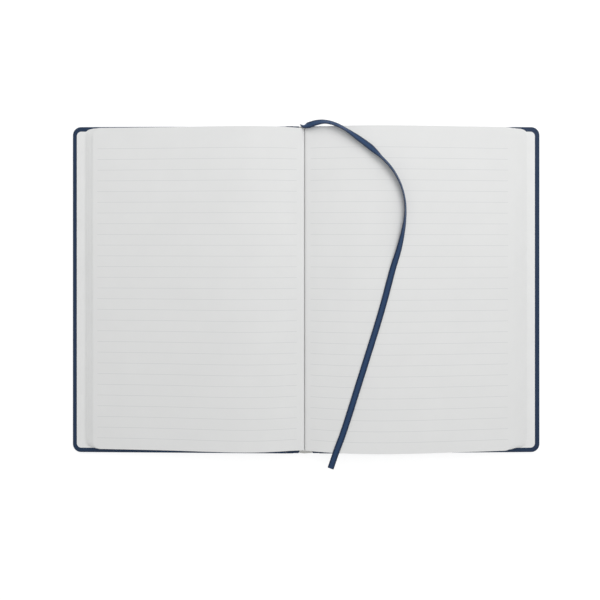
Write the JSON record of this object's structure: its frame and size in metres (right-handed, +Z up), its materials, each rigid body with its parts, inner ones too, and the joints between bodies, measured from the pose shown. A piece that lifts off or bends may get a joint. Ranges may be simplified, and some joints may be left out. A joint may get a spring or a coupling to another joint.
{
  "type": "ruled logbook",
  "caption": "Open hard-cover ruled logbook with rounded corners, sewn sections, navy leatherette case and a ribbon marker.",
  "frame": {"origin": "under the middle of the spine's height, on the surface that the open book lies on", "axes": "+X from the spine to the back cover's fore-edge, +Y from the tail to the head, +Z up out of the open pages"},
  "size_m": [0.3098, 0.2252, 0.0222],
  "materials": {
    "greyboard": "raw grey millboard",
    "leatherette": "fine-grained navy leatherette, low sheen",
    "endpaper": "smooth white endpaper",
    "page_paper": "uncoated off-white paper, faint grey ruling",
    "lining_paper": "kraft lining",
    "gauze": "open cotton gauze",
    "thread": "waxed linen thread",
    "band_cotton": "white woven band",
    "ribbon_satin": "navy satin"
  },
  "bodies": {
    "spine": {"spine_card": "greyboard", "spine_leatherette": "leatherette", "mull": "gauze", "spine_lining": "lining_paper", "head_band": "band_cotton", "tail_band": "band_cotton", "ribbon_glued_end": "ribbon_satin", "sewing_thread_1": "thread", "sewing_thread_2": "thread", "sewing_thread_3": "thread", "sewing_thread_4": "thread", "front_joint_leatherette": "leatherette", "back_joint_leatherette": "leatherette"},
    "front_cover": {"front_board": "greyboard", "front_leatherette": "leatherette", "front_pastedown": "endpaper", "front_mull_flange": "gauze"},
    "back_cover": {"back_board": "greyboard", "back_leatherette": "leatherette", "back_pastedown": "endpaper", "back_mull_flange": "gauze"},
    "section_01": {"section_01": "page_paper", "front_flyleaf": "endpaper"},
    "section_02": {"section_02": "page_paper"},
    "section_03": {"section_03": "page_paper"},
    "section_04": {"section_04": "page_paper"},
    "section_05": {"section_05": "page_paper"},
    "section_06": {"section_06": "page_paper", "ribbon_marker": "ribbon_satin"},
    "section_07": {"section_07": "page_paper"},
    "section_08": {"section_08": "page_paper"},
    "section_09": {"section_09": "page_paper"},
    "section_10": {"section_10": "page_paper"},
    "section_11": {"section_11": "page_paper"},
    "section_12": {"section_12": "page_paper", "back_flyleaf": "endpaper"},
    "turning_leaf": {"turning_leaf": "page_paper"}
  },
  "joints": [
    {"name": "front_cover_hinge", "type": "hinge", "parent": "spine", "child": "front_cover", "pos_m": [-0.0105, 0, 0.001], "axis": [0, -1, 0], "range_deg": [-91.1, 0], "deforming": ["front_joint_leatherette"]},
    {"name": "back_cover_hinge", "type": "hinge", "parent": "spine", "child": "back_cover", "pos_m": [0.0105, 0, 0.001], "axis": [0, 1, 0], "range_deg": [-91.1, 0], "deforming": ["back_joint_leatherette"]},
    {"name": "section_01_fold", "type": "hinge", "parent": "spine", "child": "section_01", "pos_m": [-0.005, 0, 0.00245], "axis": [0, -1, 0], "range_deg": [-89.39, 0], "deforming": ["section_01", "front_flyleaf"]},
    {"name": "section_02_fold", "type": "hinge", "parent": "spine", "child": "section_02", "pos_m": [-0.0041, 0, 0.00287], "axis": [0, -1, 0], "range_deg": [-89.2, 0], "deforming": ["section_02"]},
    {"name": "section_03_fold", "type": "hinge", "parent": "spine", "child": "section_03", "pos_m": [-0.0032, 0, 0.00328], "axis": [0, -1, 0], "range_deg": [-89.01, 0], "deforming": ["section_03"]},
    {"name": "section_04_fold", "type": "hinge", "parent": "spine", "child": "section_04", "pos_m": [-0.00231, 0, 0.0037], "axis": [0, -1, 0], "range_deg": [-88.82, 0], "deforming": ["section_04"]},
    {"name": "section_05_fold", "type": "hinge", "parent": "spine", "child": "section_05", "pos_m": [-0.00141, 0, 0.00411], "axis": [0, -1, 0], "range_deg": [-88.63, 0], "deforming": ["section_05"]},
    {"name": "section_06_fold", "type": "hinge", "parent": "spine", "child": "section_06", "pos_m": [-0.00039, 0, 0.00771], "axis": [0, 1, 0], "range_deg": [-89.08, 0], "deforming": ["section_06", "ribbon_marker"]},
    {"name": "section_07_fold", "type": "hinge", "parent": "spine", "child": "section_07", "pos_m": [0.00051, 0, 0.00686], "axis": [0, 1, 0], "range_deg": [-89.14, 0], "deforming": ["section_07"]},
    {"name": "section_08_fold", "type": "hinge", "parent": "spine", "child": "section_08", "pos_m": [0.00141, 0, 0.006], "axis": [0, 1, 0], "range_deg": [-89.2, 0], "deforming": ["section_08"]},
    {"name": "section_09_fold", "type": "hinge", "parent": "spine", "child": "section_09", "pos_m": [0.00231, 0, 0.00514], "axis": [0, 1, 0], "range_deg": [-89.25, 0], "deforming": ["section_09"]},
    {"name": "section_10_fold", "type": "hinge", "parent": "spine", "child": "section_10", "pos_m": [0.0032, 0, 0.00429], "axis": [0, 1, 0], "range_deg": [-89.31, 0], "deforming": ["section_10"]},
    {"name": "section_11_fold", "type": "hinge", "parent": "spine", "child": "section_11", "pos_m": [0.0041, 0, 0.00343], "axis": [0, 1, 0], "range_deg": [-89.37, 0], "deforming": ["section_11"]},
    {"name": "section_12_fold", "type": "hinge", "parent": "spine", "child": "section_12", "pos_m": [0.005, 0, 0.00257], "axis": [0, 1, 0], "range_deg": [-89.42, 0], "deforming": ["section_12", "back_flyleaf"]},
    {"name": "leaf_turn", "type": "hinge", "parent": "section_05", "child": "turning_leaf", "pos_m": [-0.0014, 0, 0.0088], "axis": [0, 1, 0], "range_deg": [0, 130], "deforming": ["turning_leaf"]}
  ],
  "couplings": [
    {"joint": "section_01_fold", "follows": "front_cover_hinge", "ratio": 0.9811},
    {"joint": "section_02_fold", "follows": "front_cover_hinge", "ratio": 0.979},
    {"joint": "section_03_fold", "follows": "front_cover_hinge", "ratio": 0.9769},
    {"joint": "section_04_fold", "follows": "front_cover_hinge", "ratio": 0.9749},
    {"joint": "section_05_fold", "follows": "front_cover_hinge", "ratio": 0.9728},
    {"joint": "section_06_fold", "follows": "back_cover_hinge", "ratio": 0.9777},
    {"joint": "section_07_fold", "follows": "back_cover_hinge", "ratio": 0.9784},
    {"joint": "section_08_fold", "follows": "back_cover_hinge", "ratio": 0.979},
    {"joint": "section_09_fold", "follows": "back_cover_hinge", "ratio": 0.9796},
    {"joint": "section_10_fold", "follows": "back_cover_hinge", "ratio": 0.9802},
    {"joint": "section_11_fold", "follows": "back_cover_hinge", "ratio": 0.9809},
    {"joint": "section_12_fold", "follows": "back_cover_hinge", "ratio": 0.9814}
  ]
}
